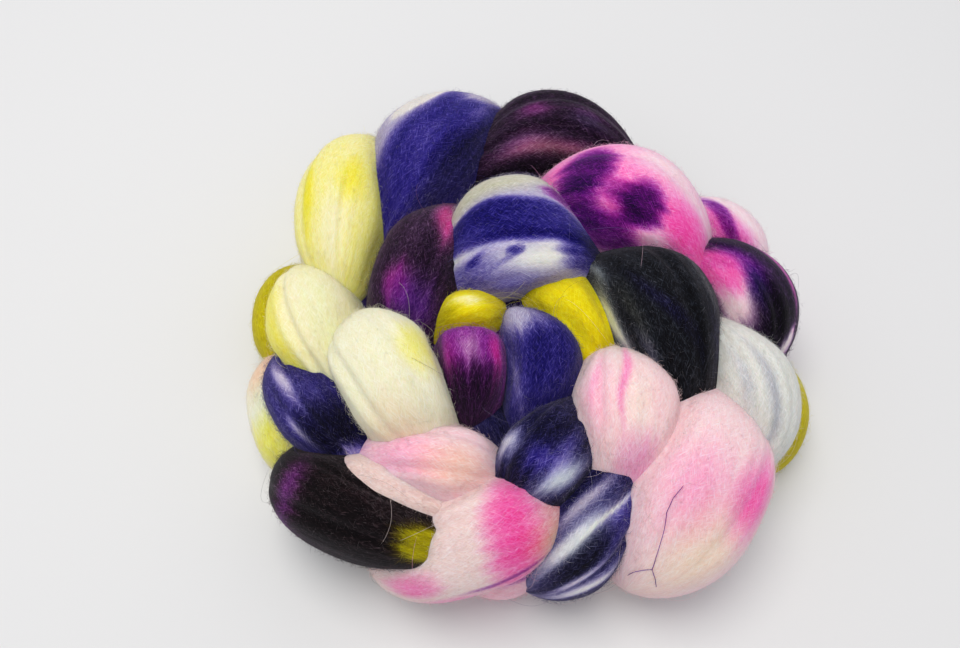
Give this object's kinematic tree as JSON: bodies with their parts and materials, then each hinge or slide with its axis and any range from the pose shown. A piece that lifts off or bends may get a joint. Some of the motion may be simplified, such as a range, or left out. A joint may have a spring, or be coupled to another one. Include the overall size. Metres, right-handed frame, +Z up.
{
  "type": "wool roving",
  "caption": "Plump braid of hand-dyed combed wool top, wound flat into a coil of pressed-together loops, ready for spinning or felting.",
  "frame": {"origin": "middle of the coil's footprint, on the surface that it lies on", "axes": "+Z up out of the coil's face, -Y towards the side that the coil is looked at from, +X to the right"},
  "size_m": [0.214, 0.214, 0.07],
  "materials": {
    "combed_wool": "matte"
  },
  "bodies": {
    "root": {"braided_coil": "combed_wool"}
  },
  "joints": []
}
